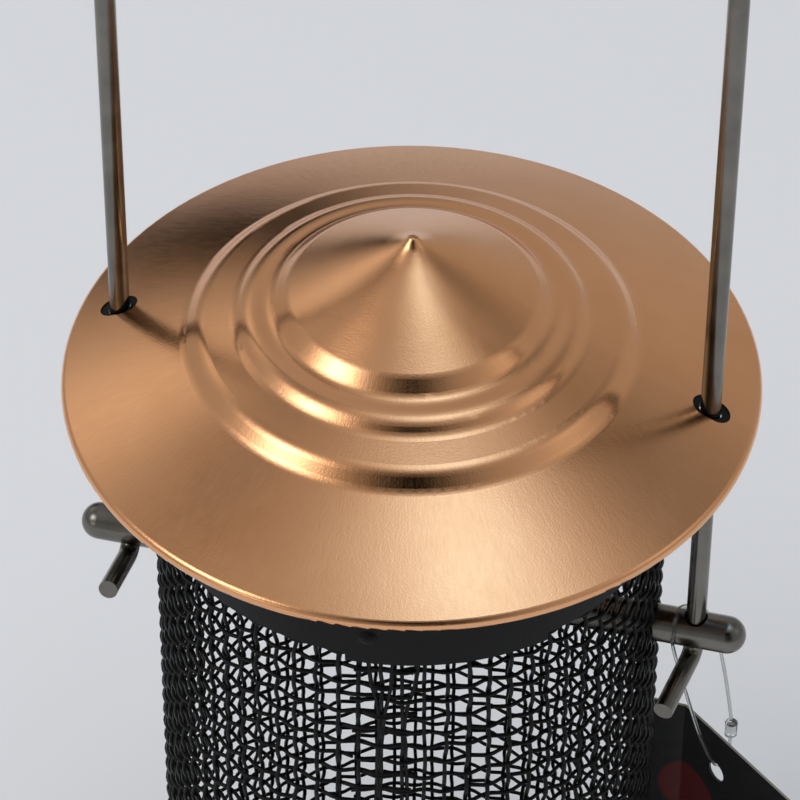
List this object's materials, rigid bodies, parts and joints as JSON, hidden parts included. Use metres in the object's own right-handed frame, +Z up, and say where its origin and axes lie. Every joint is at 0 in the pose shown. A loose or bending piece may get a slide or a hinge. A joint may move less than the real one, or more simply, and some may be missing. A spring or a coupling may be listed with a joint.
{
  "type": "hanging bird feeder",
  "caption": "Hanging mesh tube bird feeder with a pressed copper-finished lid on a wire bail, a perch-like crossbar, black bands and a base pan.",
  "frame": {"origin": "on the surface the base stands on, on the tube's axis", "axes": "+Z up along the tube, +X along the crossbar towards the hang tag, -Y the front"},
  "size_m": [0.1828, 0.16, 0.452],
  "materials": {
    "copper": "copper-coloured satin plating on pressed steel",
    "stainless": "bright drawn",
    "black_wire": "black coated wire",
    "black_coat": "satin black powder coat",
    "black_plastic": "moulded black plastic",
    "card": "coated card",
    "clear_nylon": "clear"
  },
  "bodies": {
    "feeder": {"bail_wire": "stainless", "crossbar": "stainless", "mesh_vertical_wires": "black_wire", "mesh_hoop_wires": "black_wire", "mesh_seam_wires": "black_wire", "top_collar": "black_coat", "collar_inner_ring": "black_coat", "collar_rivets": "black_coat", "bottom_band": "black_coat", "bottom_inner_ring": "black_coat", "base_pan": "black_coat", "base_rivets": "black_coat", "hang_tag": "card", "tag_loop": "clear_nylon", "tag_loop_lock": "clear_nylon"},
    "lid": {"lid_shell": "copper", "lid_grommets": "black_plastic"}
  },
  "joints": [
    {"name": "lid_lift", "type": "slide", "parent": "feeder", "child": "lid", "axis": [0, 0, 1], "range_m": [0, 0.115]}
  ]
}
